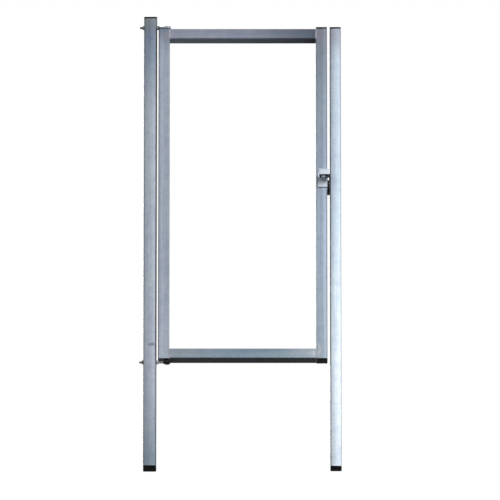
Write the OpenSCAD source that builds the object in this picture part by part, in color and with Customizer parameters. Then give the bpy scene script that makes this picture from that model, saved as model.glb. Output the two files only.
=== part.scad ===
// Pedestrian gate: a leaf of welded square tube hung between two tube posts.
// Millimetres. The origin is the centre of the hinge post's foot, X runs from the hinge post to the
// latch post, Y runs through the gate from its front to its back, and Z is up.

/* [Leaf] */
// Width of the leaf over its stiles
leaf_w = 900; // [700:10:1400]
// Height of the leaf over its rails
leaf_h = 2000; // [1400:5:2400]
// Side of the leaf's square tube
leaf_tube = 60; // [60:1:80]
// Wall of the leaf's tube
leaf_wall = 2.5; // [2:0.1:3]
// Height of the leaf's lower edge above the posts' feet
leaf_rise = 650; // [300:10:900]

/* [Posts] */
// Side of the hinge post's square tube
hinge_post_tube = 70; // [65:1:100]
// Side of the latch post's square tube
latch_post_tube = 60; // [50:1:100]
// Wall of both posts' tubes
post_wall = 3; // [2:0.1:4]
// Hinge post above the leaf's upper edge, without its cap
hinge_post_over = 60; // [40:5:200]
// Latch post above the leaf's upper edge, without its cap
latch_post_over = 0; // [-20:5:200]
// Gap between the hinge post and the leaf
hinge_gap = 8; // [8:1:20]
// Gap between the leaf and the latch post
latch_gap = 14; // [14:1:30]
// Outer corner radius of every tube
corner_r = 6; // [4.5:0.5:7]

/* [Caps] */
// Rim of the caps on top of the tubes
cap_rim = 12; // [3:1:14]
// Rim of the cap on the hinge stile, under the upper eye
hinge_cap_rim = 3; // [3:1:6]
// Rim of the caps under the tubes
foot_rim = 3; // [2:1:6]
// Depth of a cap's plug inside its tube
plug_depth = 22; // [10:1:40]
// Wall of a cap's plug
plug_wall = 3; // [2:0.5:4]

/* [Hinges] */
// Diameter of the eye bolts' rods
rod_d = 12; // [10:1:14]
// Outer diameter of the eyes
eye_d = 36; // [32:1:42]
// Thickness of the eyes over that of their rods
eye_over = 1; // [1:0.5:6]
// Diameter of the hinge pins
pin_d = 12; // [10:1:16]
// Distance from the hinge axis to the leaf's edge at the hinge post
pivot_inset = 48; // [44:1:49]
// Distance from the hinge axis forward to the leaf's middle
pivot_front = 9; // [8:1:14]
// Rod standing out beyond the hinge post's outer face
rod_out = 22; // [20:1:60]
// Steel left below the lower eye and above the upper one at the pins' ends
pin_end = 4; // [2:1:12]
// Diameter of the collar on each pin
collar_d = 20; // [18:1:22]
// Height of the lower collar, which carries the leaf
lower_collar = 8; // [4:0.5:12]
// Height of the upper collar
upper_collar = 8; // [8:0.5:16]
// Thickness of the plates that close the hinge stile and hold the pins
pin_plate = 8; // [5:1:12]

/* [Nuts] */
// Nut size across flats
nut_af = 18; // [17:1:20]
// Thickness of the nuts at the leaf's side of the post
nut_t = 10; // [7:0.5:12]
// Thickness of the lock nuts at the post's outer side
lock_nut_t = 6; // [5:0.5:12]
// Washer diameter
washer_d = 24; // [22:1:28]
// Washer thickness
washer_t = 2.5; // [2:0.5:4]

/* [Lock] */
// Height of the knobs' axis above the leaf's lower edge
knob_rise = 1088; // [600:5:1200]
// Distance from the knobs' axis to the leaf's edge at the latch post
backset = 18; // [17:1:26]
// Width of the lock's face plates
face_w = 50; // [48:1:54]
// Height of the face plates
face_h = 82; // [78:1:120]
// Thickness of the face plates
face_t = 8; // [4:1:10]
// Face plate below the knobs' axis
face_drop = 56; // [53:1:60]
// Width of the front knob
knob_w = 54; // [40:1:70]
// Height of the front knob
knob_h = 35; // [30:1:48]
// Depth of the front knob's head
knob_head = 45; // [20:1:50]
// Radius of the front knob's corners
knob_r = 5; // [2:0.5:15]
// Diameter of the knobs' necks
neck_d = 26; // [18:1:28]
// Length of the front knob's neck outside its face plate
neck_l = 26; // [12:1:35]
// Diameter of the back knob
back_knob_d = 34; // [30:1:34]
// Depth of the back knob's head
back_knob_head = 26; // [15:1:28]
// Length of the back knob's neck outside its face plate
back_neck_l = 14; // [10:1:16]
// Side of the square spindle
spindle_w = 8; // [6:0.5:10]
// Height of the latch bolt
bolt_h = 20; // [14:1:22]
// Thickness of the latch bolt
bolt_t = 12; // [8:1:14]
// Height of the knobs' axis above the latch bolt's middle
bolt_drop = 27; // [25:1:30]
// Height of the forend
forend_h = 92; // [84:1:140]
// Width of the forend
forend_w = 22; // [20:1:30]
// Thickness of the forend
forend_t = 3; // [2:0.5:4]

/* [Keep] */
// Height of the keep on the latch post
keep_h = 88; // [84:1:120]
// Keep below the forend's lower end
keep_under = 0; // [0:1:10]
// Thickness of the keep's steel
keep_t = 5; // [4:0.5:5]
// Height of the stop at the keep's lower end
stop_h = 30; // [16:1:36]
// Length of the stop behind the leaf
stop_lap = 16; // [10:1:20]
// Diameter of the keep's screws
screw_d = 6; // [5:0.5:7]

/* [Hidden] */

// Clearances
free = 5;          // between a moving piece and what it passes
slip = 0.2;        // round a plug, a neck or a sliding piece
seat = 0.3;        // between the faces of a collar and its eye
pin_free = 0.05;   // round a hinge pin in its eye
rod_free = 0.5;    // round an eye bolt in the post
through = 1;       // how far a cut runs past the faces that it leaves by
arc = 64;          // steps of a full circle

// The leaf
leaf_x0 = hinge_post_tube / 2 + hinge_gap;
leaf_x1 = leaf_x0 + leaf_w;
leaf_z0 = leaf_rise;
leaf_z1 = leaf_rise + leaf_h;
pivot_x = leaf_x0 + pivot_inset;
pivot_y = -pivot_front;

// The posts
latch_post_x = leaf_x1 + latch_gap + latch_post_tube / 2;
hinge_post_z1 = leaf_z1 + hinge_post_over;
latch_post_z1 = leaf_z1 + latch_post_over;

// The hinges: a collar stands on the leaf and the eye follows it
eye_t = rod_d + eye_over;
lower_eye_z = leaf_z0 - lower_collar - seat - eye_t / 2;
upper_eye_z = leaf_z1 + upper_collar + seat + eye_t / 2;
hole_d = rod_d + 2 * rod_free;
washer_hole_d = rod_d + 2 * rod_free;
nut_hole_d = rod_d + 2 * slip;

// The lock
knob_x = leaf_x1 - backset;
knob_z = leaf_z0 + knob_rise;
front_y = -leaf_tube / 2;
back_y = leaf_tube / 2;
face_z = knob_z - face_drop;
neck_hole_d = neck_d + 2 * slip;
bolt_z = knob_z - bolt_drop;
bolt_show = 1;     // nose of the drawn bolt outside the forend
bolt_l = 38;
spindle_grip = 12; // of the spindle in each knob, outside the face plates
case_side = 3;     // the case's wall beside the bolt
case_inset = 6;    // of the case from the face plates' ends
case_free = 1;     // between the case and the necks' ends
case_w = leaf_tube - 2 * leaf_wall - 2 * slip;
case_t = bolt_t + 2 * case_side;
case_h = face_h - 2 * case_inset;
case_z = face_z + case_inset;
forend_z = case_z + case_h / 2 - forend_h / 2;

// The keep
post_face_x = leaf_x1 + latch_gap;
keep_z = forend_z - keep_under;
keep_back = 2;     // of the keep behind the leaf's front face
keep_y0 = front_y + keep_back;
stop_y0 = back_y + face_t + free;
lip_free = 2;      // from the leaf's edge to the lip, across the gap
lip_w = latch_gap - lip_free;
screw_inset = 11;  // of a screw from the keep's top and from its pocket
screw_head_d = 2 * screw_d;
screw_head_t = 2;
screw_end = 4;     // of a screw inside the post
screw_l = keep_t + post_wall + screw_end;
pocket_free = 3;   // round the bolt in the keep

// A square with rounded corners, centred on the origin
module rounded_square(w, r) {
    square([w - 2 * r, w], center = true);
    square([w, w - 2 * r], center = true);
    for (x = [-1, 1], y = [-1, 1])
        translate([x * (w / 2 - r), y * (w / 2 - r)]) circle(r = r, $fn = arc);
}

// Square tube of side w along Z, from 0 to l
module square_tube(w, wall, l) {
    linear_extrude(l) difference() {
        rounded_square(w, corner_r);
        rounded_square(w - 2 * wall, corner_r - wall);
    }
}

// Turns what lies along Z to lie along X
module along_x() {
    rotate([0, 90, 0]) children();
}

// Turns what lies along Z to lie along Y
module along_y() {
    rotate([-90, 0, 0]) children();
}

// A tube's end cap: a rim from 0 to rim, with a hollow plug below it
module end_cap(w, wall, rim) {
    plug_w = w - 2 * wall - 2 * slip;
    plug_r = corner_r - wall;
    linear_extrude(rim) rounded_square(w, corner_r);
    translate([0, 0, -plug_depth]) linear_extrude(plug_depth) difference() {
        rounded_square(plug_w, plug_r);
        square(plug_w - 2 * plug_wall, center = true);
    }
}

// The same cap turned over, with its rim's outer face at 0
module foot_cap(w, wall, rim) {
    translate([0, 0, rim]) mirror([0, 0, 1]) end_cap(w, wall, rim);
}

// Ring along X from 0 to t
module ring_x(outer_d, inner_d, t) {
    along_x() difference() {
        cylinder(d = outer_d, h = t, $fn = arc);
        translate([0, 0, -through]) cylinder(d = inner_d, h = t + 2 * through, $fn = arc);
    }
}

// Hexagon nut along X from 0 to t, with flats above and below
module nut_x(t) {
    along_x() difference() {
        rotate(30) cylinder(d = nut_af / cos(30), h = t, $fn = 6);
        translate([0, 0, -through]) cylinder(d = nut_hole_d, h = t + 2 * through, $fn = arc);
    }
}

// Post tubes, each standing on its foot cap
module hinge_post() {
    color("lightsteelblue") difference() {
        translate([0, 0, foot_rim]) square_tube(hinge_post_tube, post_wall, hinge_post_z1 - foot_rim);
        for (z = [lower_eye_z, upper_eye_z])
            translate([-hinge_post_tube / 2 - through, pivot_y, z])
                along_x() cylinder(d = hole_d, h = hinge_post_tube + 2 * through, $fn = arc);
    }
}

module latch_post() {
    color("lightsteelblue") difference() {
        translate([latch_post_x, 0, foot_rim])
            square_tube(latch_post_tube, post_wall, latch_post_z1 - foot_rim);
        translate([post_face_x - through, -pocket_w() / 2, bolt_z - pocket_h() / 2])
            cube([post_wall + 2 * through, pocket_w(), pocket_h()]);
        for (z = screw_heights())
            translate([post_face_x - through, 0, z])
                along_x() cylinder(d = screw_d + slip, h = post_wall + 2 * through, $fn = arc);
    }
}

module hinge_post_cap() {
    color("dimgray") translate([0, 0, hinge_post_z1]) end_cap(hinge_post_tube, post_wall, cap_rim);
}

module hinge_post_foot() {
    color("dimgray") foot_cap(hinge_post_tube, post_wall, foot_rim);
}

module latch_post_cap() {
    color("dimgray") translate([latch_post_x, 0, latch_post_z1])
        end_cap(latch_post_tube, post_wall, cap_rim);
}

module latch_post_foot() {
    color("dimgray") translate([latch_post_x, 0, 0]) foot_cap(latch_post_tube, post_wall, foot_rim);
}

// Eye bolt at height z: a rod through the post, ending in an eye on the hinge axis
module eye_bolt(z) {
    rod_x0 = -hinge_post_tube / 2 - rod_out;
    color("gray") difference() {
        translate([0, pivot_y, z]) {
            translate([rod_x0, 0, 0]) along_x() cylinder(d = rod_d, h = pivot_x - rod_x0, $fn = arc);
            translate([pivot_x, 0, -eye_t / 2]) cylinder(d = eye_d, h = eye_t, $fn = arc);
        }
        translate([pivot_x, pivot_y, z - eye_t / 2 - through])
            cylinder(d = pin_d + 2 * pin_free, h = eye_t + 2 * through, $fn = arc);
    }
}

// Washers against the post's two faces, and the nuts that clamp them
module outer_washer(z) {
    color("silver") translate([-hinge_post_tube / 2 - washer_t, pivot_y, z])
        ring_x(washer_d, washer_hole_d, washer_t);
}

module inner_washer(z) {
    color("silver") translate([hinge_post_tube / 2, pivot_y, z]) ring_x(washer_d, washer_hole_d, washer_t);
}

module lock_nut(z) {
    color("silver") translate([-hinge_post_tube / 2 - washer_t - lock_nut_t, pivot_y, z]) nut_x(lock_nut_t);
}

module inner_nut(z) {
    color("silver") translate([hinge_post_tube / 2 + washer_t, pivot_y, z]) nut_x(nut_t);
}

// Size of the keep's pocket for the latch bolt
function pocket_w() = bolt_t + 2 * pocket_free;
function pocket_h() = bolt_h + 2 * pocket_free;
// Heights of the keep's screws
function screw_heights() = [bolt_z + pocket_h() / 2 + screw_inset, keep_z + keep_h - screw_inset];

// Keep: a web on the post's face, a lip behind it over the gap, and a stop behind the leaf's edge
module latch_keep() {
    web_y1 = stop_y0 + keep_t;
    color("black") difference() {
        translate([0, 0, keep_z]) {
            translate([post_face_x - keep_t, keep_y0, 0]) cube([keep_t, web_y1 - keep_y0, keep_h]);
            translate([post_face_x - lip_w, stop_y0, 0]) cube([lip_w, keep_t, keep_h]);
            translate([leaf_x1 - stop_lap, stop_y0, 0]) cube([latch_gap + stop_lap, keep_t, stop_h]);
        }
        translate([post_face_x - keep_t - through, -pocket_w() / 2, bolt_z - pocket_h() / 2])
            cube([keep_t + 2 * through, pocket_w(), pocket_h()]);
        for (z = screw_heights())
            translate([post_face_x - keep_t - through, 0, z]) along_x() {
                cylinder(d = screw_d + slip, h = keep_t + 2 * through, $fn = arc);
                cylinder(d = screw_head_d + slip, h = screw_head_t + through, $fn = arc);
            }
    }
}

// Screw sunk flush in the keep, through it and the post's wall
module keep_screw(z) {
    color("silver") translate([post_face_x - keep_t, 0, z]) along_x() {
        cylinder(d = screw_head_d, h = screw_head_t, $fn = arc);
        cylinder(d = screw_d, h = screw_l, $fn = arc);
    }
}

// Stiles, which run the leaf's full height
module hinge_stile() {
    color("lightsteelblue") translate([leaf_x0 + leaf_tube / 2, 0, leaf_z0])
        square_tube(leaf_tube, leaf_wall, leaf_h);
}

module latch_stile() {
    color("lightsteelblue") difference() {
        translate([leaf_x1 - leaf_tube / 2, 0, leaf_z0]) square_tube(leaf_tube, leaf_wall, leaf_h);
        translate([leaf_x1 - leaf_wall - through, -case_t / 2 - slip, case_z - slip])
            cube([leaf_wall + 2 * through, case_t + 2 * slip, case_h + 2 * slip]);
        translate([knob_x, front_y - through, knob_z])
            along_y() cylinder(d = neck_hole_d, h = leaf_tube + 2 * through, $fn = arc);
    }
}

// Rails, butted between the stiles
module rail(z) {
    color("lightsteelblue") translate([leaf_x0 + leaf_tube, 0, z])
        along_x() square_tube(leaf_tube, leaf_wall, leaf_w - 2 * leaf_tube);
}

module top_rail() {
    rail(leaf_z1 - leaf_tube / 2);
}

module bottom_rail() {
    rail(leaf_z0 + leaf_tube / 2);
}

// Hinge pin: a plate inside the stile from -pin_plate to 0, a collar above it and the pin beyond
module hinge_pin(collar) {
    plate_w = leaf_tube - 2 * leaf_wall - 2 * slip;
    color("gray") {
        translate([leaf_x0 + leaf_tube / 2, 0, -pin_plate])
            linear_extrude(pin_plate) rounded_square(plate_w, corner_r - leaf_wall);
        translate([pivot_x, pivot_y, 0]) {
            cylinder(d = collar_d, h = collar, $fn = arc);
            cylinder(d = pin_d, h = collar + seat + eye_t + pin_end, $fn = arc);
        }
    }
}

module lower_hinge_pin() {
    translate([0, 0, leaf_z0]) mirror([0, 0, 1]) hinge_pin(lower_collar);
}

module upper_hinge_pin() {
    translate([0, 0, leaf_z1]) hinge_pin(upper_collar);
}

// Cover round the upper collar, on the hinge stile's end
module hinge_stile_cap() {
    color("dimgray") translate([0, 0, leaf_z1]) difference() {
        translate([leaf_x0 + leaf_tube / 2, 0, 0])
            linear_extrude(hinge_cap_rim) rounded_square(leaf_tube, corner_r);
        translate([pivot_x, pivot_y, -through])
            cylinder(d = collar_d + 2 * slip, h = hinge_cap_rim + 2 * through, $fn = arc);
    }
}

module latch_stile_cap() {
    color("dimgray") translate([leaf_x1 - leaf_tube / 2, 0, leaf_z1])
        end_cap(leaf_tube, leaf_wall, cap_rim);
}

module latch_stile_foot() {
    color("dimgray") translate([leaf_x1 - leaf_tube / 2, 0, leaf_z0 - foot_rim])
        foot_cap(leaf_tube, leaf_wall, foot_rim);
}

// Lock case inside the stile, with a channel for the bolt and a hole for the knobs' necks
module lock_case() {
    case_x0 = leaf_x1 - leaf_wall - slip - case_w;
    color("darkgray") difference() {
        translate([case_x0, -case_t / 2, case_z]) cube([leaf_x1 - case_x0, case_t, case_h]);
        translate([leaf_x1 - bolt_l - bolt_show, -bolt_t / 2 - slip, bolt_z - bolt_h / 2 - slip])
            cube([bolt_l + bolt_show + through, bolt_t + 2 * slip, bolt_h + 2 * slip]);
        translate([knob_x, -case_t / 2 - through, knob_z])
            along_y() cylinder(d = neck_hole_d, h = case_t + 2 * through, $fn = arc);
    }
}

// Strip over the case on the stile's edge
module lock_forend() {
    color("silver") difference() {
        translate([leaf_x1, -forend_w / 2, forend_z])
            cube([forend_t, forend_w, forend_h]);
        translate([leaf_x1 - through, -bolt_t / 2 - slip, bolt_z - bolt_h / 2 - slip])
            cube([forend_t + 2 * through, bolt_t + 2 * slip, bolt_h + 2 * slip]);
    }
}

// Face plate from 0 to face_t in Y, with the necks' hole
module face_plate() {
    color("silver") difference() {
        translate([leaf_x1 - face_w, 0, face_z]) cube([face_w, face_t, face_h]);
        translate([knob_x, -through, knob_z])
            along_y() cylinder(d = neck_hole_d, h = face_t + 2 * through, $fn = arc);
    }
}

module front_face_plate() {
    translate([0, front_y - face_t, 0]) face_plate();
}

module back_face_plate() {
    translate([0, back_y, 0]) face_plate();
}

// Square bar that joins the two knobs
module knob_spindle() {
    reach = face_t + spindle_grip;
    color("gray") translate([knob_x - spindle_w / 2, front_y - reach, knob_z - spindle_w / 2])
        cube([spindle_w, leaf_tube + 2 * reach, spindle_w]);
}

// Neck of a knob along Y, from inside the case's side to its head, with the spindle's square hole
module knob_neck(length_out) {
    neck_in = leaf_tube / 2 - case_t / 2 - case_free;
    socket_y0 = -face_t - spindle_grip;
    difference() {
        translate([0, -face_t - length_out, 0])
            along_y() cylinder(d = neck_d, h = length_out + face_t + neck_in, $fn = arc);
        translate([-spindle_w / 2, socket_y0, -spindle_w / 2])
            cube([spindle_w, neck_in - socket_y0 + through, spindle_w]);
    }
}

// Front knob: a block with rounded corners on its neck
module front_knob() {
    color("gainsboro") translate([knob_x, front_y, knob_z]) {
        knob_neck(neck_l);
        translate([0, -face_t - neck_l - knob_head, 0]) {
            for (x = [-1, 1], z = [-1, 1])
                translate([x * (knob_w / 2 - knob_r), 0, z * (knob_h / 2 - knob_r)])
                    along_y() cylinder(r = knob_r, h = knob_head, $fn = arc);
            translate([-knob_w / 2 + knob_r, 0, -knob_h / 2])
                cube([knob_w - 2 * knob_r, knob_head, knob_h]);
            translate([-knob_w / 2, 0, -knob_h / 2 + knob_r])
                cube([knob_w, knob_head, knob_h - 2 * knob_r]);
        }
    }
}

// Round back knob
module back_knob() {
    color("gainsboro") translate([knob_x, back_y, knob_z]) mirror([0, 1, 0]) {
        knob_neck(back_neck_l);
        translate([0, -face_t - back_neck_l - back_knob_head, 0])
            along_y() cylinder(d = back_knob_d, h = back_knob_head, $fn = arc);
    }
}

// Latch bolt, drawn back, with its nose just out of the forend
module latch_bolt() {
    nose_x = leaf_x1 + forend_t + bolt_show;
    color("silver") translate([nose_x - bolt_l, -bolt_t / 2, bolt_z - bolt_h / 2])
        cube([bolt_l, bolt_t, bolt_h]);
}

hinge_post();
hinge_post_cap();
hinge_post_foot();
latch_post();
latch_post_cap();
latch_post_foot();
eye_bolt(lower_eye_z);  // lower_eye_bolt
eye_bolt(upper_eye_z);  // upper_eye_bolt
outer_washer(lower_eye_z);  // lower_outer_washer
outer_washer(upper_eye_z);  // upper_outer_washer
inner_washer(lower_eye_z);  // lower_inner_washer
inner_washer(upper_eye_z);  // upper_inner_washer
lock_nut(lower_eye_z);  // lower_lock_nut
lock_nut(upper_eye_z);  // upper_lock_nut
inner_nut(lower_eye_z);  // lower_inner_nut
inner_nut(upper_eye_z);  // upper_inner_nut
latch_keep();
keep_screw(screw_heights()[0]);  // lower_keep_screw
keep_screw(screw_heights()[1]);  // upper_keep_screw
hinge_stile();
latch_stile();
top_rail();
bottom_rail();
lower_hinge_pin();
upper_hinge_pin();
hinge_stile_cap();
latch_stile_cap();
latch_stile_foot();
lock_case();
lock_forend();
front_face_plate();
back_face_plate();
knob_spindle();
front_knob();
back_knob();
latch_bolt();
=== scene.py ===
"""Pedestrian gate: a leaf of welded, hot-dip galvanised square tube between two tube posts.

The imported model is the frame. Tubes keep their CAD meshes and get a zinc finish. Hinges, nuts,
caps, knobs and weld beads are surfaces worked out here with numpy, where the CAD has them.
All lengths are in metres.
"""

import math

import bmesh
import bpy
import numpy as np
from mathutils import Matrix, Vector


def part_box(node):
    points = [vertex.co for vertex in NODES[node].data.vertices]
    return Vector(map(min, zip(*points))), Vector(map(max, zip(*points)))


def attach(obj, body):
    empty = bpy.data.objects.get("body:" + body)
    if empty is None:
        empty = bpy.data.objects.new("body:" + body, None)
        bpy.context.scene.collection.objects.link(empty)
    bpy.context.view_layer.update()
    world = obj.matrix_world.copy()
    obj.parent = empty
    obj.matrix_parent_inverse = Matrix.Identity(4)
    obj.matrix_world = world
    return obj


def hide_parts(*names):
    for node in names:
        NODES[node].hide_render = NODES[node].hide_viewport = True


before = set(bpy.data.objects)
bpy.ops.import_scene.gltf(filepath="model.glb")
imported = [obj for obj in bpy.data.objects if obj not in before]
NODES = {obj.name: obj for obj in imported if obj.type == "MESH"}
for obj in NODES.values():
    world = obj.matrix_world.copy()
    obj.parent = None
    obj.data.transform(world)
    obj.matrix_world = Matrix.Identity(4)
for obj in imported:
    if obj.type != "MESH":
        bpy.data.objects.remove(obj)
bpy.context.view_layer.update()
MM = 0.001


# ---------------------------------------------------------------- camera

FIELD = 2.661            # width of the view at the gate, in metres
DISTANCE = 120.0         # a long lens, so that upright tubes stay upright
ELEVATION = math.radians(-28.5)
AIM = np.array([0.5315, 0.0, 1.319])

camera_data = bpy.data.cameras.new("camera")
camera_data.lens = camera_data.sensor_width * DISTANCE / FIELD
camera_data.clip_end = 2 * DISTANCE
camera = bpy.data.objects.new("camera", camera_data)
camera.location = AIM + DISTANCE * np.array([0.0, -math.cos(ELEVATION), math.sin(ELEVATION)])
camera.rotation_euler = (math.pi / 2 - ELEVATION, 0.0, 0.0)
bpy.context.scene.collection.objects.link(camera)
bpy.context.scene.camera = camera
bpy.context.scene.view_settings.view_transform = "Standard"


# ---------------------------------------------------------------- nodes and colours

def linear(code):
    """Linear RGBA of an sRGB hex colour.

    Each channel c becomes ((c + 0.055) / 1.055) ^ 2.4, or c / 12.92 where it is dark.
    """
    values = np.array([int(code[i:i + 2], 16) for i in (1, 3, 5)]) / 255
    curve = np.where(values > 0.04045, ((values + 0.055) / 1.055) ** 2.4, values / 12.92)
    return (*curve.tolist(), 1.0)


def tone(gain):
    """Linear grey that scales a colour's sRGB value by gain."""
    return (gain ** 2.2,) * 3 + (1.0,)


def add(tree, kind, values=None, links=None, stops=(), **settings):
    """Adds a node, sets its properties, sockets and ramp, and links outputs into it."""
    node = tree.nodes.new(kind)
    for key, value in settings.items():
        setattr(node, key, value)
    for socket, value in (values or {}).items():
        node.inputs[socket].default_value = value
    for socket, source in (links or {}).items():
        tree.links.new(source, node.inputs[socket])
    for place, (position, colour) in enumerate(stops):
        elements = node.color_ramp.elements
        element = elements[place] if place < 2 else elements.new(1.0)
        element.position, element.color = position, colour
    return node


def new_material(name):
    """Empty node material with its output node."""
    material = bpy.data.materials.new(name)
    material.use_nodes = True
    tree = material.node_tree
    tree.nodes.clear()
    return material, tree, add(tree, "ShaderNodeOutputMaterial")


# ---------------------------------------------------------------- zinc

# Tone along each tube: the axis that it lies along, and a few (metres along it, shade) between
# which it changes evenly. The posts darken towards the ground and the caps, the leaf towards its
# top.
TONE_ALONG = {
    "hinge_post": (2, [(0.05, "#7C8A92"), (0.45, "#A2A6B0"), (2.1, "#9EA4AA"), (2.5, "#77808F"),
                       (2.63, "#6C7480"), (2.69, "#73797C")]),
    "latch_post": (2, [(0.05, "#DFE7ED"), (0.5, "#EAF3F8"), (1.0, "#DCE7EE"), (1.6, "#C0CDD6"),
                       (2.45, "#B6C0CA"), (2.62, "#9CA0A8")]),
    "hinge_stile": (2, [(0.67, "#A6ACB6"), (1.2, "#9AA1AB"), (2.5, "#9AA1AA"), (2.64, "#6E7788")]),
    "latch_stile": (2, [(0.67, "#98A3AC"), (1.4, "#96A1AE"), (2.3, "#7B858F"), (2.64, "#6C6F78")]),
    "top_rail": (0, [(0.12, "#8F919C"), (0.5, "#868A95"), (0.87, "#535A65")]),
    "bottom_rail": (0, [(0.12, "#92999F"), (0.5, "#81919D"), (0.7, "#89979F"), (0.87, "#AAB1B7")]),
}


STREAK_WIDTH, STREAK_LENGTH = 0.009, 0.35   # where the molten zinc drained
MOTTLE = 0.045           # clouds of the patina
CRYSTAL = 0.007          # zinc crystals, the spangle
PEEL = 0.004             # fine unevenness of the skin
STRAY = 0.035            # how far a smudge's edge wanders


def zinc(tube, painted_light_and_shade, painted_shade_strips=(), patches=(), roughness=0.5, level=0.25):
    """Hot-dip galvanised steel, dipped whole: a zinc skin that weathers to a grey-blue patina.

    It shows as soft streaks where the zinc drained, a cloudy mottle and faint crystals. The width
    profile, [(share of the width from -1 to 1, gain)], is painted light and shade across each face.
    The edge strips, ([(share, strength)], gain, [(metres along, strength)]), are painted shade, a
    dark strip along one edge. patches are (centre, radii, colour, strength). level is the specular
    level.
    """
    axis, stops = TONE_ALONG[tube]
    low_corner, high_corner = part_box(tube)
    side = 2 - axis
    material, tree, output = new_material(tube + "_galvanised_steel_painted_light")
    place = add(tree, "ShaderNodeTexCoord").outputs["Object"]
    parts = add(tree, "ShaderNodeSeparateXYZ", links={0: place})

    # Tone along the tube
    low, high = stops[0][0], stops[-1][0]
    along = add(tree, "ShaderNodeMapRange", {1: low, 2: high}, {0: parts.outputs[axis]}).outputs[0]
    colour = add(tree, "ShaderNodeValToRGB", links={0: along},
                 stops=[((p - low) / (high - low), linear(c)) for p, c in stops]).outputs[0]

    # Painted light and shade from one edge of the face to the other
    across = add(tree, "ShaderNodeMapRange", {1: low_corner[side], 2: high_corner[side]},
                 {0: parts.outputs[side]}).outputs[0]
    painted_light_tint = add(tree, "ShaderNodeValToRGB", links={0: across},
                     stops=[((s + 1) / 2, tone(g)) for s, g in painted_light_and_shade])

    # Streaks of the draining zinc
    streak_scale = [1 / STREAK_WIDTH] * 3
    streak_scale[axis] = 1 / STREAK_LENGTH
    streak_place = add(tree, "ShaderNodeMapping", {"Scale": streak_scale}, {0: place})
    streak = add(tree, "ShaderNodeTexNoise", {"Scale": 1.0, "Detail": 3.0, "Roughness": 0.55},
                 {0: streak_place.outputs[0]})
    streak_tint = add(tree, "ShaderNodeValToRGB", links={0: streak.outputs["Fac"]},
                      stops=[(0.30, linear("#E0E6EC")), (0.44, linear("#F3F2FA")),
                             (0.56, linear("#F4FBF8")), (0.70, linear("#FFFFFF"))])

    # Cloudy mottle
    mottle = add(tree, "ShaderNodeTexNoise",
                 {"Scale": 1 / MOTTLE, "Detail": 5.0, "Roughness": 0.6}, {0: place})
    mottle_tint = add(tree, "ShaderNodeValToRGB", links={0: mottle.outputs["Fac"]},
                      stops=[(0.32, linear("#E6EBF0")), (0.5, linear("#F6F7FB")),
                             (0.68, linear("#FFFFFF"))])

    # Spangle
    spangle = add(tree, "ShaderNodeTexVoronoi", {"Scale": 1 / CRYSTAL}, {0: place})
    crystal = add(tree, "ShaderNodeSeparateXYZ", links={0: spangle.outputs["Color"]})
    crystal_tint = add(tree, "ShaderNodeValToRGB", links={0: crystal.outputs[0]},
                       stops=[(0.0, linear("#F3F5F8")), (1.0, linear("#FFFFFF"))])

    for tint, amount in ((painted_light_tint, 1.0), (streak_tint, 0.9), (mottle_tint, 0.8),
                         (crystal_tint, 1.0)):
        colour = add(tree, "ShaderNodeMix", {0: amount}, {6: colour, 7: tint.outputs[0]},
                     data_type="RGBA", blend_type="MULTIPLY").outputs[2]

    # Painted shade: a dark strip along an edge beside a gap or under a rail
    for shares, gain, strengths in painted_shade_strips:
        into = add(tree, "ShaderNodeValToRGB", links={0: across},
                   stops=[((s + 1) / 2, (v, v, v, 1)) for s, v in shares])
        reach = add(tree, "ShaderNodeValToRGB", links={0: along},
                    stops=[((p - low) / (high - low), (v, v, v, 1)) for p, v in strengths])
        amount = add(tree, "ShaderNodeMath", links={0: into.outputs[0], 1: reach.outputs[0]},
                     operation="MULTIPLY")
        colour = add(tree, "ShaderNodeMix", {7: tone(gain)}, {0: amount.outputs[0], 6: colour},
                     data_type="RGBA", blend_type="MULTIPLY").outputs[2]

    # Smudges, weld heat and sprayed zinc, with cloudy edges
    wander = add(tree, "ShaderNodeVectorMath", {1: (0.5, 0.5, 0.5)},
                 {0: mottle.outputs["Color"]}, operation="SUBTRACT")
    strayed = add(tree, "ShaderNodeVectorMath", {1: (STRAY, STRAY, STRAY)},
                  {0: wander.outputs[0], 2: place}, operation="MULTIPLY_ADD")
    for centre, radii, code, strength in patches:
        local = add(tree, "ShaderNodeMapping", {"Location": centre, "Scale": radii},
                    {0: strayed.outputs[0]}, vector_type="TEXTURE")
        ball = add(tree, "ShaderNodeTexGradient", links={0: local.outputs[0]},
                   gradient_type="SPHERICAL")
        mask = add(tree, "ShaderNodeMapRange", {1: 0.0, 2: 0.55, 4: strength},
                   {0: ball.outputs["Fac"]}, interpolation_type="SMOOTHSTEP")
        colour = add(tree, "ShaderNodeMix", {7: linear(code)}, {0: mask.outputs[0], 6: colour},
                     data_type="RGBA").outputs[2]

    # The crystals take the light differently, and the skin is slightly orange-peeled
    gloss = add(tree, "ShaderNodeMapRange", {3: roughness - 0.08, 4: roughness + 0.12},
                {0: crystal.outputs[1]})
    peel = add(tree, "ShaderNodeTexNoise", {"Scale": 1 / PEEL, "Detail": 3.0}, {0: place})
    fine = add(tree, "ShaderNodeBump", {"Strength": 0.25, "Distance": 0.15 * MM},
               {"Height": peel.outputs["Fac"]})
    bump = add(tree, "ShaderNodeBump", {"Strength": 0.35, "Distance": 0.6 * MM},
               {"Height": streak.outputs["Fac"], "Normal": fine.outputs[0]})
    shader = add(tree, "ShaderNodeBsdfPrincipled", {"Metallic": 0.05, "Specular IOR Level": level},
                 {"Base Color": colour, "Roughness": gloss.outputs[0], "Normal": bump.outputs[0]})
    tree.links.new(shader.outputs[0], output.inputs[0])
    return material
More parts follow.
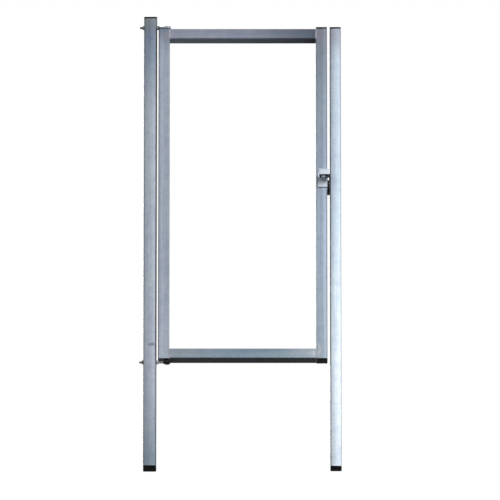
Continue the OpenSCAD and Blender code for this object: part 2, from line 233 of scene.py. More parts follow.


# Each tube's own finish. Its painted light and shade darken the edges that face a gap and the
# rails' undersides. Patches are weld heat and sprayed zinc near the corners, and two smudges on the
# post.
TUBE_ZINC = {
    "hinge_post": zinc(
        "hinge_post",
        [(-1.0, 0.65), (-0.75, 0.92), (0.0, 1.02), (0.7, 1.15), (0.9, 0.9), (1.0, 0.8)],
        # painted shade down the post's edge beside the leaf, over the leaf's height
        painted_shade_strips=[([(0.76, 0.0), (0.84, 1.0), (0.985, 1.0), (1.0, 0.35)], 0.08,
                [(0.60, 0.35), (0.66, 1.0), (2.63, 1.0), (2.67, 0.1)])],
        patches=[((-0.006, -0.035, 2.594), (0.030, 0.030, 0.016), "#5A6684", 0.7),
                 ((0.011, -0.035, 0.733), (0.028, 0.030, 0.013), "#66727E", 0.85)]),
    "latch_post": zinc(
        "latch_post",
        [(-1.0, 0.5), (-0.98, 0.15), (-0.9, 0.2), (-0.78, 0.8), (0.0, 1.0), (0.7, 1.1), (1.0, 0.9)],
        roughness=0.42),
    "hinge_stile": zinc(
        "hinge_stile",
        [(-1.0, 0.5), (-0.98, 0.15), (-0.94, 0.35), (-0.84, 0.93), (-0.4, 1.03), (0.5, 0.96),
         (1.0, 1.0)],
        patches=[((0.088, -0.03, 2.600), (0.030, 0.020, 0.050), "#77767E", 0.7),
                 ((0.096, -0.03, 0.690), (0.016, 0.030, 0.050), "#9096A4", 0.6)]),
    "latch_stile": zinc(
        "latch_stile",
        [(-1.0, 0.9), (-0.7, 1.0), (0.15, 1.0), (0.35, 1.12), (0.7, 1.18), (0.85, 1.02),
         (1.0, 1.0)],
        patches=[((0.900, -0.03, 2.615), (0.034, 0.020, 0.045), "#6C6C78", 0.6),
                 ((0.898, -0.03, 0.702), (0.012, 0.030, 0.055), "#B2B2B6", 0.5)]),
    "top_rail": zinc(
        "top_rail",
        [(-1.0, 1.2), (-0.96, 0.8), (-0.8, 1.02), (1.0, 0.98)],
        # painted shade under the rail, deepest towards the latch stile
        painted_shade_strips=[([(-1.0, 1.0), (-0.975, 0.0)], 0.02, [(0.25, 0.0), (0.8, 0.4), (0.875, 1.0)])],
        level=0.08),
    "bottom_rail": zinc(
        "bottom_rail",
        [(-1.0, 0.45), (-0.96, 0.7), (-0.8, 1.04), (1.0, 0.98)],
        # painted shade under the rail beside the hinge stile
        painted_shade_strips=[([(-1.0, 1.0), (-0.975, 0.0)], 0.3, [(0.105, 1.0), (0.17, 0.0)])],
        patches=[((0.874, -0.03, 0.677), (0.008, 0.020, 0.026), "#C4C6D2", 0.55)],
        level=0.08),
}


# ---------------------------------------------------------------- other finishes

GRIT = 1.2 * MM          # width of the fine grain on each of these finishes


def clouded(name, dark, light, cloud, roughness, metallic, grain, level=0.5, coat=0.0,
            stretch=(1, 1, 1)):
    """A finish of two close shades, clouded over `cloud` mm, with a surface grain `grain` mm deep.

    stretch draws the clouds out along an axis, for a brushed face. level is the specular level.
    """
    material, tree, output = new_material(name)
    place = add(tree, "ShaderNodeTexCoord").outputs["Object"]
    drawn = add(tree, "ShaderNodeMapping", {"Scale": stretch}, {0: place}).outputs[0]
    cloud_noise = add(tree, "ShaderNodeTexNoise",
                      {"Scale": 1 / (cloud * MM), "Detail": 4.0, "Roughness": 0.6}, {0: drawn})
    shade = add(tree, "ShaderNodeValToRGB", links={0: cloud_noise.outputs["Fac"]},
                stops=[(0.35, linear(dark)), (0.65, linear(light))])
    gloss = add(tree, "ShaderNodeMapRange",
                {1: 0.3, 2: 0.7, 3: roughness - 0.06, 4: roughness + 0.06},
                {0: cloud_noise.outputs["Fac"]})
    grit = add(tree, "ShaderNodeTexNoise", {"Scale": 1 / GRIT, "Detail": 2.0}, {0: drawn})
    bump = add(tree, "ShaderNodeBump", {"Strength": 0.4, "Distance": grain * MM},
               {"Height": grit.outputs["Fac"]})
    shader = add(tree, "ShaderNodeBsdfPrincipled",
                 {"Metallic": metallic, "Specular IOR Level": level, "Coat Weight": coat},
                 {"Base Color": shade.outputs[0], "Roughness": gloss.outputs[0],
                  "Normal": bump.outputs[0]})
    tree.links.new(shader.outputs[0], output.inputs[0])
    return material


# Polyethylene tube cap, moulded: near black, with the soft sheen of a matte mould
cap_plastic = clouded("cap_moulded_polyethylene", "#030304", "#08090A", 20, 0.55, 0.0, 0.05,
                      level=0.06)
# Black enamel baked on pressed steel: deep black under a thin clear skin
keep_enamel = clouded("keep_baked_black_enamel", "#02050A", "#050A12", 15, 0.42, 0.0, 0.03,
                      level=0.2, coat=0.1)
# Die-cast zinc alloy, satin plated: pale, cool and a little clouded by handling
knob_alloy = clouded("knob_satin_plated_die_casting", "#9BA5B0", "#ABB5C0", 12, 0.40, 0.10, 0.02)
# The same casting polished and chromed on its neck and plug: it mirrors what lies round it
knob_chrome = clouded("knob_polished_chrome", "#BCC3CB", "#D2D8DE", 6, 0.25, 0.95, 0.01)
# Moulded nylon body of the front knob: black, with a soft sheen
knob_nylon = clouded("knob_moulded_black_nylon", "#090B0E", "#14171B", 10, 0.45, 0.0, 0.03,
                     level=0.25)
# Stainless plate brushed along its height: the lines are drawn three times their real width
plate_steel = clouded("plate_brushed_stainless_steel", "#A3ADB8", "#BBC4CD", 3, 0.50, 0.05, 0.03,
                      level=0.3, stretch=(1, 1, 0.06))
# Plain rolled steel inside the lock: oiled, darker and mostly out of sight
lock_steel = clouded("lock_plain_rolled_steel", "#4A4B4D", "#616366", 20, 0.5, 0.4, 0.04)
# Zinc-plated forged steel of the hinges, dulled and darkened by weather, and on the upper inner nut
# dark as painted shade
hinge_steel = clouded("hinge_dulled_zinc_plated_steel", "#1E2022", "#3A3D40", 8, 0.5, 0.25, 0.05)
# Lower eye and pin: near black with a dull sheen, painted shade of the hinge in shadow
steel_painted_shade = clouded("hinge_greased_steel", "#060607", "#101112", 6, 0.45, 0.0, 0.08, level=0.12)
# Lower rod: the plating has dulled to a mid grey
rod_steel = clouded("hinge_grey_zinc_plated_rod", "#5A5D61", "#8A8E93", 6, 0.45, 0.2, 0.04)
# Newer zinc-plated nuts and washers, brighter than the bolts that they sit on
nut_steel = clouded("nut_bright_zinc_plated_steel", "#8D9298", "#B4BABF", 6, 0.4, 0.3, 0.04)
# Weld metal under sprayed zinc: bright and brown specks on a rough bead
weld_steel = clouded("weld_zinc_sprayed_steel", "#6B6A6E", "#B9BCC2", 6, 0.55, 0.12, 0.12)


# ---------------------------------------------------------------- surfaces

def joined_round(points, close_rows=False):
    """Quads of a grid of points (rows, columns, 3) whose columns join round into rings.

    Quad (i, j) has the corners (i, j), (i, j + 1), (i + 1, j + 1), (i + 1, j), with j taken round.
    """
    rows, columns = points.shape[:2]
    i = np.arange(rows if close_rows else rows - 1)[:, None]
    j = np.arange(columns)[None, :]
    after, under = (j + 1) % columns, (i + 1) % rows
    quads = np.stack([i * columns + j, i * columns + after,
                      under * columns + after, under * columns + j], axis=-1)
    return points.reshape(-1, 3), quads.reshape(-1, 4)


def rounded(corners, radii, steps=6):
    """Profile with rounded corners: each corner gives way to an arc that touches both its sides.

    The arc's centre lies on the corner's bisector at radius / sin(half angle), and its ends lie at
    radius / tan(half angle) along the sides. Ends of the profile stay sharp.
    """
    corners = np.array(corners, float)
    out = [corners[:1]]
    for k in range(1, len(corners) - 1):
        before = corners[k - 1] - corners[k]
        behind = corners[k + 1] - corners[k]
        before, behind = before / np.linalg.norm(before), behind / np.linalg.norm(behind)
        half = math.acos(np.clip(before @ behind, -1, 1)) / 2
        if radii[k] <= 0:
            out.append(corners[k:k + 1])
            continue
        bisector = (before + behind) / np.linalg.norm(before + behind)
        centre = corners[k] + bisector * radii[k] / math.sin(half)
        first = corners[k] + before * radii[k] / math.tan(half) - centre
        last = corners[k] + behind * radii[k] / math.tan(half) - centre
        turn = math.atan2(first[0] * last[1] - first[1] * last[0], first @ last)
        angles = np.linspace(0, turn, steps + 1)[:, None]
        quarter = np.array([-first[1], first[0]])
        out.append(centre + np.cos(angles) * first + np.sin(angles) * quarter)
    out.append(corners[-1:])
    return np.concatenate(out)


def facing(points, axis):
    """Turns a shape that stands along Z so that it stands along axis 0, 1 or 2."""
    order = {0: [2, 0, 1], 1: [1, 2, 0], 2: [0, 1, 2]}[axis]
    return points[..., order]


def turned(profile, centre, axis=2, steps=48, close_rows=False):
    """Surface of revolution: (r cos a, r sin a, h) for each (r, h) of the profile, once round."""
    profile = np.array(profile, float)
    angle = np.linspace(0, 2 * math.pi, steps, endpoint=False)
    radius, height = profile[:, :1], profile[:, 1:]
    points = np.stack([radius * np.cos(angle), radius * np.sin(angle),
                       height + 0 * angle], axis=-1)
    return joined_round(facing(points, axis) + np.array(centre), close_rows)


def oblong(half_a, half_b, radius, steps=6):
    """Rounded rectangle: quarter arcs about (a - r, b - r), joined by straight sides."""
    quarter = np.linspace(0, math.pi / 2, steps + 1)
    out = []
    for k, (sx, sy) in enumerate(((1, 1), (-1, 1), (-1, -1), (1, -1))):
        angle = quarter + k * math.pi / 2
        out.append(np.stack([sx * (half_a - radius) + radius * np.cos(angle),
                             sy * (half_b - radius) + radius * np.sin(angle)], axis=-1))
    return np.concatenate(out)


def stacked(levels, centre, axis=2, steps=6):
    """Rounded rectangles in a stack: each level is (half a, half b, corner radius, height)."""
    rings = []
    for half_a, half_b, radius, height in levels:
        outline = oblong(half_a, half_b, radius, steps)
        rings.append(np.column_stack([outline, np.full(len(outline), height)]))
    return joined_round(facing(np.array(rings), axis) + np.array(centre))


def nut(across, bore, height, centre, axis=0, turn=math.pi / 6):
    """Hexagon nut: at angle a the side lies at (w / 2) / cos(a'), where a' is a folded into +-30.

    Both faces are cut back at 30 degrees outside a circle that touches the flats, and the bore's
    mouths are cut at 45 degrees.
    """
    angle = np.linspace(0, 2 * math.pi, 72, endpoint=False)
    folded = (angle + math.pi / 6) % (math.pi / 3) - math.pi / 6
    side = across / 2 / np.cos(folded)
    flat = 0.475 * across
    drop = (side - flat) * math.tan(math.radians(30))
    one = np.ones_like(angle)
    mouth = 0.8 * MM
    rows = [((bore + mouth) * one, 0 * one), (flat * one, 0 * one), (side, drop),
            (side, height - drop), (flat * one, height * one), ((bore + mouth) * one, height * one),
            (bore * one, (height - mouth) * one), (bore * one, mouth * one)]
    points = np.array([np.stack([r * np.cos(angle + turn), r * np.sin(angle + turn), h], axis=-1)
                       for r, h in rows])
    return joined_round(facing(points, axis) + np.array(centre), close_rows=True)


def threaded(radius, pitch, start, end, smooth_from, centre):
    """Threaded rod along X: radius - depth |2 frac(x / pitch - a / 360) - 1|, six rows to a turn.

    The thread fades to a plain shank past smooth_from, and its free end is rounded.
    """
    sides = 24
    x = np.arange(start, end, pitch / 6)[:, None]
    angle = np.linspace(0, 2 * math.pi, sides, endpoint=False)[None, :]
    depth = 0.58 * pitch * np.clip((smooth_from - x) / (2 * pitch), 0, 1)
    wave = np.abs(2 * ((x / pitch - angle / (2 * math.pi)) % 1) - 1)
    r = radius - depth * wave
    lead = 2.5 * MM
    inset = np.clip((start + lead - x) / lead, 0, 1)
    r = r * (1 - 0.22 * inset ** 2)
    points = np.stack([x + 0 * angle, r * np.cos(angle), r * np.sin(angle)], axis=-1)
    first, last = (np.tile([[[end_x, 0, 0]]], (1, sides, 1)) for end_x in (x[0, 0], x[-1, 0]))
    return joined_round(np.concatenate([first, points, last]) + np.array(centre))


def bead(path, centre, radius, ripple=0.0035, seed=0):
    """Weld bead round a closed path: circles whose radius swells once every `ripple` metres.

    Each circle stands in the plane of the path's outward direction and of that direction crossed
    with the path's tangent. A sum of three slow sines makes its width uneven.
    """
    length = np.linalg.norm(np.diff(np.vstack([path, path[:1]]), axis=0), axis=1)
    total = length.sum()
    travelled = np.concatenate([[0], np.cumsum(length)])
    count = int(total / (ripple / 4))
    s = np.linspace(0, total, count, endpoint=False)
    closed = np.vstack([path, path[:1]])
    line = np.stack([np.interp(s, travelled, closed[:, k]) for k in range(3)], axis=-1)
    tangent = np.roll(line, -1, axis=0) - np.roll(line, 1, axis=0)
    tangent /= np.linalg.norm(tangent, axis=1, keepdims=True)
    outward = line - np.array(centre)
    outward -= (outward * tangent).sum(1, keepdims=True) * tangent
    outward /= np.linalg.norm(outward, axis=1, keepdims=True)
    sideways = np.cross(tangent, outward)
    turns = s / total * 2 * math.pi
    uneven = 0.5 * np.sin(7 * turns + seed) + 0.3 * np.sin(13 * turns + 2 * seed) \
        + 0.2 * np.sin(23 * turns + 3 * seed)
    swell = np.abs(np.sin(math.pi * s / ripple))
    r = (radius * (0.86 + 0.14 * swell + 0.12 * uneven))[:, None, None]
    angle = np.linspace(0, 2 * math.pi, 12, endpoint=False)[None, :, None]
    points = line[:, None, :] + r * (np.cos(angle) * outward[:, None, :]
                                     + np.sin(angle) * sideways[:, None, :])
    return joined_round(points, close_rows=True)


def piece(name, shells, material, body, nodes=(), sharp=32.0):
    """Makes one object of several shells, with doubles merged, normals outwards and hard edges."""
    points = np.concatenate([p for p, _ in shells])
    starts = np.cumsum([0] + [len(p) for p, _ in shells[:-1]])
    quads = np.concatenate([q + start for (_, q), start in zip(shells, starts)])
    mesh = bpy.data.meshes.new(name)
    mesh.from_pydata(points.tolist(), [], quads.tolist())
    work = bmesh.new()
    work.from_mesh(mesh)
    bmesh.ops.remove_doubles(work, verts=work.verts, dist=1e-6)
    bmesh.ops.dissolve_degenerate(work, edges=work.edges, dist=1e-7)
    bmesh.ops.recalc_face_normals(work, faces=work.faces)
    work.to_mesh(mesh)
    work.free()
    return finished(name, mesh, material, body, nodes, sharp)


def finished(name, mesh, material, body, nodes, sharp=32.0):
    """Links a mesh as an object that shows smooth up to `sharp` degrees and rides on its body."""
    mesh.shade_smooth()
    mesh.set_sharp_from_angle(angle=math.radians(sharp))
    mesh.materials.clear()
    mesh.materials.append(material)
    thing = bpy.data.objects.new(name, mesh)
    bpy.context.scene.collection.objects.link(thing)
    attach(thing, body)
    if nodes:
        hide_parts(*nodes)
    return thing


def eased(node, width, material, body):
    """A CAD node's shape with its edges eased by a three-step bevel."""
    mesh = NODES[node].data.copy()
    work = bmesh.new()
    work.from_mesh(mesh)
    bmesh.ops.remove_doubles(work, verts=work.verts, dist=1e-5)
    bmesh.ops.dissolve_limit(work, angle_limit=math.radians(0.5), verts=work.verts,
                             edges=work.edges)
    corners = [e for e in work.edges if len(e.link_faces) == 2
               and e.calc_face_angle(0.0) > math.radians(40)]
    bmesh.ops.bevel(work, geom=corners, offset=width, segments=3, profile=0.5, affect="EDGES",
                    clamp_overlap=True)
    work.to_mesh(mesh)
    work.free()
    return finished(node + "_eased", mesh, material, body, [node])


def dress(node, material):
    """Gives a CAD node its finish."""
    NODES[node].data.materials.clear()
    NODES[node].data.materials.append(material)


def middle_of(node):
    """Middle, lowest and highest corner of a CAD node's box."""
    low, high = (np.array(corner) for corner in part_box(node))
    return (low + high) / 2, low, high


# ---------------------------------------------------------------- tubes

for node, material in TUBE_ZINC.items():
    dress(node, material)


# ---------------------------------------------------------------- caps

CORNER = 6 * MM          # outer radius of the tubes' corners
PLUG = 22 * MM           # depth of a cap's plug


def cap_levels(half, rim, wall, crown=1.2 * MM, edge=2.5 * MM):
    """Levels of a cap: up its hollow plug, over its rim and to its slightly raised top."""
    plug = half - wall - 0.2 * MM
    inner = plug - 3 * MM
    tight = CORNER - wall
    levels = [(0, 0, 0, 0), (inner, inner, 0.5 * MM, 0), (inner, inner, 0.5 * MM, -PLUG),
              (plug, plug, tight, -PLUG), (plug, plug, tight, 0),
              (half - 0.3 * MM, half - 0.3 * MM, CORNER - 0.3 * MM, 0),
              (half, half, CORNER, 0.3 * MM)]
    edge = min(edge, 0.8 * rim)
    for angle in np.linspace(0, math.pi / 2, 7):
        inset = edge * (1 - math.cos(angle))
        levels.append((half - inset, half - inset, CORNER - inset * 0.8,
                       rim - crown - edge * (1 - math.sin(angle))))
    levels += [(0.6 * half, 0.6 * half, CORNER, rim - 0.25 * crown), (0, 0, 0, rim)]
    return levels


def cap(node, tube, wall, body):
    """Plastic cap on the end of a tube, its rim as wide as the tube."""
    centre, tube_low, tube_high = middle_of(tube)
    _, low, high = middle_of(node)
    half = (tube_high[0] - tube_low[0]) / 2
    up = high[2] > tube_high[2]
    levels = cap_levels(half, high[2] - tube_high[2] if up else tube_low[2] - low[2], wall)
    if not up:
        levels = [(a, b, r, -h) for a, b, r, h in levels]
    base = tube_high[2] if up else tube_low[2]
    piece(node + "_moulded", [stacked(levels, (centre[0], centre[1], base))],
          cap_plastic, body, [node])


POST_WALL, LEAF_WALL = 3 * MM, 2.5 * MM
cap("hinge_post_cap", "hinge_post", POST_WALL, "posts")
cap("hinge_post_foot", "hinge_post", POST_WALL, "posts")
cap("latch_post_cap", "latch_post", POST_WALL, "posts")
cap("latch_post_foot", "latch_post", POST_WALL, "posts")
cap("latch_stile_cap", "latch_stile", LEAF_WALL, "leaf")
cap("latch_stile_foot", "latch_stile", LEAF_WALL, "leaf")
eased("hinge_stile_cap", 1.2 * MM, cap_plastic, "leaf")


# ---------------------------------------------------------------- hinges

ROD, PIN = 12 * MM, 12 * MM   # diameters of the eye bolts' rods and of the pins
PITCH = 1.75 * MM        # of the rods' thread
COLLAR = 10 * MM         # radius of the pins' collars
PAST_EYE = 4.3 * MM      # what a pin reaches beyond its collar and the eye's thickness
CLOSING_HALF = 27.3 * MM   # half width of the plates that close the stile
CLOSING_DEPTH = 8 * MM   # how deep they stand in it
AROUND = np.linspace(0, 2 * math.pi, 60, endpoint=False)   # angles along the weld paths

stile_mid, stile_low, stile_high = middle_of("hinge_stile")

for level in ("lower", "upper"):
    bolt_mid, bolt_low, bolt_high = middle_of(level + "_eye_bolt")
    _, pin_low, pin_high = middle_of(level + "_hinge_pin")
    eye_r = (bolt_high[1] - bolt_low[1]) / 2
    eye_t = bolt_high[2] - bolt_low[2]
    pivot = np.array([bolt_high[0] - eye_r, bolt_mid[1], bolt_mid[2]])
    rod_r = ROD / 2
    bore = (PIN + 0.1 * MM) / 2

    # Rod, eye with rounded edges, and the weld that joins them. The lower eye's black is painted
    # shade
    rod_finish = hinge_steel if level == "upper" else rod_steel
    eye_finish = nut_steel if level == "upper" else steel_painted_shade
    thick = eye_t / 2
    eye_profile = rounded([(bore, 0), (bore, -thick), (eye_r, -thick), (eye_r, thick),
                           (bore, thick), (bore, 0)], [0, 1 * MM, 3 * MM, 3 * MM, 1 * MM, 0])[:-1]
    joint_r = rod_r + 0.5 * MM
    sideways, upwards = joint_r * np.cos(AROUND), joint_r * np.sin(AROUND)
    saddle = np.stack([pivot[0] - np.sqrt(eye_r ** 2 - sideways ** 2) - 0.6 * MM,
                       pivot[1] + sideways, pivot[2] + upwards], axis=-1)
    piece(level + "_rod_threaded",
          [threaded(rod_r, PITCH, bolt_low[0], pivot[0] - 0.7 * eye_r, pivot[0] - 1.3 * eye_r,
                    (0, pivot[1], pivot[2]))],
          rod_finish, "posts", [level + "_eye_bolt"])
    piece(level + "_eye_forged",
          [turned(eye_profile, pivot, close_rows=True),
           bead(saddle, (saddle[:, 0].mean(), pivot[1], pivot[2]), 2.2 * MM, seed=1)],
          eye_finish, "posts", [level + "_eye_bolt"])

    # Washers and nuts
    for side in ("outer", "inner"):
        _, low, high = middle_of(f"{level}_{side}_washer")
        hole, outer, thickness = rod_r + 0.5 * MM, (high[2] - low[2]) / 2, high[0] - low[0]
        ring = rounded([(hole, thickness / 2), (hole, 0), (outer, 0), (outer, thickness),
                        (hole, thickness), (hole, thickness / 2)],
                       [0, 0.2 * MM, 0.6 * MM, 0.6 * MM, 0.2 * MM, 0])[:-1]
        piece(f"{level}_{side}_washer_pressed",
              [turned(ring, (low[0], pivot[1], pivot[2]), axis=0, close_rows=True)],
              nut_steel, "posts", [f"{level}_{side}_washer"])
    # Only the lower inner nut is bright: the upper inner nut's dark finish is painted shade
    for node in (level + "_lock_nut", level + "_inner_nut"):
        _, low, high = middle_of(node)
        piece(node + "_chamfered",
              [nut(high[2] - low[2], rod_r + 0.2 * MM, high[0] - low[0],
                   (low[0], pivot[1], pivot[2]))],
              nut_steel if node == "lower_inner_nut" else hinge_steel,
              "posts", [node])

    # Pin: closing plate inside the stile, collar and rounded pin
    sign = 1 if level == "upper" else -1
    base = stile_high[2] if sign > 0 else stile_low[2]
    tip = abs((pin_high[2] if sign > 0 else pin_low[2]) - base)
    collar = tip - eye_t - PAST_EYE
    pin_profile = rounded([(0, -1 * MM), (COLLAR, -1 * MM), (COLLAR, collar), (PIN / 2, collar),
                           (PIN / 2, tip), (0, tip)],
                          [0, 0, 1 * MM, 0.3 * MM, 2 * MM, 0])
    pin_profile[:, 1] *= sign
    eased_half = CLOSING_HALF - 0.6 * MM
    plate = [(0, 0, 0, -CLOSING_DEPTH * sign),
             (CLOSING_HALF, CLOSING_HALF, 3.5 * MM, -CLOSING_DEPTH * sign),
             (CLOSING_HALF, CLOSING_HALF, 3.5 * MM, -0.6 * MM * sign),
             (eased_half, eased_half, 3 * MM, 0), (0, 0, 0, 0)]
    foot = np.array([pivot[0], pivot[1], base])
    seam = COLLAR - 0.2 * MM
    ring = np.stack([pivot[0] + seam * np.cos(AROUND), pivot[1] + seam * np.sin(AROUND),
                     np.full_like(AROUND, base + sign * 0.3 * MM)], axis=-1)
    piece(level + "_hinge_pin_turned",
          [turned(pin_profile, foot), stacked(plate, (stile_mid[0], stile_mid[1], base)),
           bead(ring, foot, 1.5 * MM, seed=2)],
          eye_finish, "leaf", [level + "_hinge_pin"])


# ---------------------------------------------------------------- welds

BEAD = 3.6 * MM          # radius of the beads
BEAD_PAST = 1.2 * MM     # how far past the rail's end their middle runs
BEAD_SUNK = 1.6 * MM     # how deep under the rail's faces it runs


def weld_round(rail, at_start, seed):
    """Bead round a rail's end, in the groove beside the stile's rounded corner."""
    mid, low, high = middle_of(rail)
    half = (high[2] - low[2]) / 2 - BEAD_SUNK
    outline = oblong(half, half, CORNER - 1 * MM, 8)
    x = low[0] - BEAD_PAST if at_start else high[0] + BEAD_PAST
    path = np.column_stack([np.full(len(outline), x), mid[1:] + outline])
    piece(f"{rail}_weld_{'a' if at_start else 'b'}",
          [bead(path, (x, mid[1], mid[2]), BEAD, seed=seed)],
          weld_steel, "leaf")


weld_round("top_rail", True, 3)
weld_round("top_rail", False, 4)
weld_round("bottom_rail", True, 5)
weld_round("bottom_rail", False, 6)


# ---------------------------------------------------------------- lock

# Front knob: a black block with rounded corners on a round neck, under a bright crowned cap
knob_mid, knob_low, knob_high = middle_of("front_knob")
half_w, half_h = (knob_high[0] - knob_low[0]) / 2, (knob_high[2] - knob_low[2]) / 2
NECK = 13 * MM           # radius of the knobs' necks
KNOB_DEPTH = 45 * MM     # of the front knob's head
KNOB_CORNER = 5 * MM     # radius of its corners
CAP_DEPTH = 4 * MM       # of its bright cap
BLOCK_EDGE = 3 * MM      # rounding of the block's back edges
CAP_EDGE = 2.5 * MM      # rounding of the cap's front edges
GROOVE = 0.8 * MM        # how far the block draws in behind the cap
BACK_KNOB_DEPTH = 26 * MM   # of the back knob's head
front = knob_low[1]
back = front + KNOB_DEPTH
axis_x, axis_z = knob_mid[0], knob_mid[2]


def knob_level(inset, y):
    """Level of the knob's block at depth y, pulled in by inset all round."""
    return (half_h - inset, half_w - inset, max(KNOB_CORNER - inset, 0.5 * MM), y)


turn = np.linspace(0, math.pi / 2, 7)
cap_back = front + CAP_DEPTH
block = [(0, 0, 0, back), knob_level(BLOCK_EDGE, back)]
block += [knob_level(BLOCK_EDGE * (1 - math.sin(a)), back - BLOCK_EDGE * (1 - math.cos(a)))
          for a in turn]
block += [knob_level(0.0, cap_back + 1.2 * MM), knob_level(GROOVE, cap_back + 0.6 * MM),
          knob_level(GROOVE, cap_back - 1 * MM), (0, 0, 0, cap_back - 1 * MM)]
piece("front_knob_body", [stacked(block, (axis_x, 0, axis_z), axis=1, steps=12)],
      knob_nylon, "knobs", ["front_knob"])
neck = rounded([(0, knob_high[1]), (NECK, knob_high[1]), (NECK, back - 1 * MM), (0, back - 1 * MM)],
               [0, 0.5 * MM, 0, 0])
piece("front_knob_neck", [turned(neck, (axis_x, 0, axis_z), axis=1, steps=64)],
      knob_chrome, "knobs", ["front_knob"])
crown = [(0, 0, 0, cap_back), knob_level(0.3 * MM, cap_back),
         knob_level(0.0, cap_back - 0.3 * MM)]
crown += [knob_level(CAP_EDGE * (1 - math.cos(a)),
                     front + 0.6 * MM + CAP_EDGE * (1 - math.sin(a))) for a in turn]
crown += [(0.5 * half_h, 0.5 * half_w, KNOB_CORNER, front + 0.15 * MM), (0, 0, 0, front)]
piece("front_knob_cap", [stacked(crown, (axis_x, 0, axis_z), axis=1, steps=12)],
      knob_alloy, "knobs", ["front_knob"])


def button(name, centre, radius, proud, material, body, axis=2, out=-1):
    """Low round head that stands proud of a face: a flat disc with a rim rounded over its height.

    Its foot is sunk 1.5 mm into the face, and out is the face's direction along the axis.
    """
    profile = rounded([(0, -1.5 * MM), (radius, -1.5 * MM), (radius, proud), (0, 1.1 * proud)],
                      [0, 0, 0.9 * proud, 0])
    profile[:, 1] *= out
    piece(name, [turned(profile, centre, axis=axis, steps=32)], material, body)


# Under the knob: the plug over its spindle clamp, and the screw beside it
under = knob_low[2]
button("front_knob_plug", (axis_x - 2 * MM, front + 26 * MM, under), 10.5 * MM, 0.8 * MM,
       knob_chrome, "knobs")
button("front_knob_screw", (axis_x + 18 * MM, front + 25 * MM, under), 3.4 * MM, 1.0 * MM,
       nut_steel, "knobs")

# Back knob: round, with a softened rim
back_mid, back_low, back_high = middle_of("back_knob")
back_r = (back_high[0] - back_low[0]) / 2
root = back_high[1] - BACK_KNOB_DEPTH
back_profile = rounded([(0, back_low[1]), (NECK, back_low[1]), (NECK, root), (back_r, root),
                        (back_r, back_high[1]), (0, back_high[1])],
                       [0, 0.5 * MM, 1 * MM, 2.5 * MM, 4 * MM, 0])
piece("back_knob_turned", [turned(back_profile, (back_mid[0], 0, back_mid[2]), axis=1, steps=64)],
      knob_alloy, "knobs", ["back_knob"])

# Face plates with softened edges, each held by two screws
for side, out in (("front", -1), ("back", 1)):
    mid, low, high = middle_of(side + "_face_plate")
    eased(side + "_face_plate", 1.5 * MM, plate_steel, "leaf")
    for level, z in (("lower", low[2] + 8 * MM), ("upper", high[2] - 6 * MM)):
        button(f"{side}_plate_{level}_screw", (mid[0], low[1] if out < 0 else high[1], z),
               3.8 * MM, 1.2 * MM, nut_steel, "leaf", axis=1, out=out)

eased("lock_forend", 0.6 * MM, lock_steel, "leaf")
eased("latch_bolt", 1.0 * MM, lock_steel, "bolt")
eased("latch_keep", 1.0 * MM, keep_enamel, "posts")
for node, material in (("lock_case", lock_steel), ("knob_spindle", lock_steel),
                       ("lower_keep_screw", hinge_steel), ("upper_keep_screw", hinge_steel)):
    dress(node, material)


# ---------------------------------------------------------------- floor, world and lamps

FLOOR_RADIUS = 12.0
FADE_START, FADE_END = 2.0, 6.2   # metres from the hinge post where the floor turns to white
LEAF_MIDDLE = (0.5, 0.0, 1.2)     # what the lamps face


def seen_directly(tree):
    """1 for rays from the camera and for reflected and refracted ones, else 0."""
    path = add(tree, "ShaderNodeLightPath")
    either = add(tree, "ShaderNodeMath", operation="MAXIMUM",
                 links={0: path.outputs["Is Camera Ray"], 1: path.outputs["Is Glossy Ray"]})
    return add(tree, "ShaderNodeMath", operation="MAXIMUM",
               links={0: either.outputs[0], 1: path.outputs["Is Transmission Ray"]}).outputs[0]


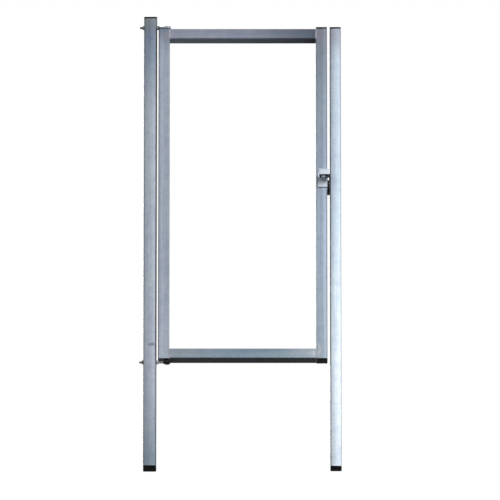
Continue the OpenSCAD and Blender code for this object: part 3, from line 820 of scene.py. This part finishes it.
def floor_material():
    """Pale floor that fades to white away from the gate and is clear from below."""
    material, tree, output = new_material("floor_pale")
    place = add(tree, "ShaderNodeTexCoord").outputs["Object"]
    reach = add(tree, "ShaderNodeVectorMath", links={0: place}, operation="LENGTH")
    away = add(tree, "ShaderNodeMapRange", {1: FADE_START, 2: FADE_END},
               {0: reach.outputs["Value"]}, interpolation_type="SMOOTHSTEP")
    lit = add(tree, "ShaderNodeBsdfDiffuse", {"Color": (0.42, 0.42, 0.42, 1)})
    glow = add(tree, "ShaderNodeEmission", {"Color": (1, 1, 1, 1), "Strength": 0.5})
    near = add(tree, "ShaderNodeAddShader", links={0: lit.outputs[0], 1: glow.outputs[0]})
    far = add(tree, "ShaderNodeEmission", {"Color": (1, 1, 1, 1), "Strength": 1.0})
    shown = add(tree, "ShaderNodeMixShader",
                links={0: away.outputs[0], 1: near.outputs[0], 2: far.outputs[0]})
    dim = add(tree, "ShaderNodeBsdfDiffuse", {"Color": (0.035, 0.035, 0.035, 1)})
    top = add(tree, "ShaderNodeMixShader",
              links={0: seen_directly(tree), 1: dim.outputs[0], 2: shown.outputs[0]})
    clear = add(tree, "ShaderNodeBsdfTransparent")
    below = add(tree, "ShaderNodeNewGeometry")
    surface = add(tree, "ShaderNodeMixShader",
                  links={0: below.outputs["Backfacing"], 1: top.outputs[0], 2: clear.outputs[0]})
    tree.links.new(surface.outputs[0], output.inputs[0])
    return material


ring = np.linspace(0, 2 * math.pi, 96, endpoint=False)
rim = np.stack([LEAF_MIDDLE[0] + FLOOR_RADIUS * np.cos(ring), FLOOR_RADIUS * np.sin(ring),
                np.full_like(ring, -1 * MM)], axis=-1)
floor_mesh = bpy.data.meshes.new("floor")
floor_mesh.from_pydata(rim.tolist(), [], [list(range(len(ring)))])
floor_mesh.materials.append(floor_material())
floor = bpy.data.objects.new("floor", floor_mesh)
bpy.context.scene.collection.objects.link(floor)

world = bpy.data.worlds.new("studio")
world.use_nodes = True
bpy.context.scene.world = world
sky = world.node_tree
sky.nodes.clear()
white = add(sky, "ShaderNodeBackground", {"Color": (1, 1, 1, 1), "Strength": 1.0})
grey = add(sky, "ShaderNodeBackground", {"Color": (1, 1, 1, 1), "Strength": 0.10})
both = add(sky, "ShaderNodeMixShader", links={0: seen_directly(sky), 1: grey.outputs[0],
                                              2: white.outputs[0]})
add(sky, "ShaderNodeOutputWorld", links={0: both.outputs[0]})


def lamp(name, place, watts, width=3.0):
    """White square soft box at a place, turned to face the middle of the leaf."""
    data = bpy.data.lights.new(name, "AREA")
    data.shape, data.size, data.energy = "SQUARE", width, watts
    light = bpy.data.objects.new(name, data)
    bpy.context.scene.collection.objects.link(light)
    light.location = place
    away = np.array(place) - np.array(LEAF_MIDDLE)
    tilt = math.atan2(math.hypot(away[0], away[1]), away[2])
    light.rotation_euler = (tilt, 0.0, math.atan2(away[1], away[0]) + math.pi / 2)
    light.visible_camera = False


lamp("key_box", (2.6, -5.6, 3.2), 375.0)
lamp("fill_box", (-2.6, -5.6, 1.6), 100.0)
lamp("back_box", (-2.0, 5.0, 4.5), 520.0)
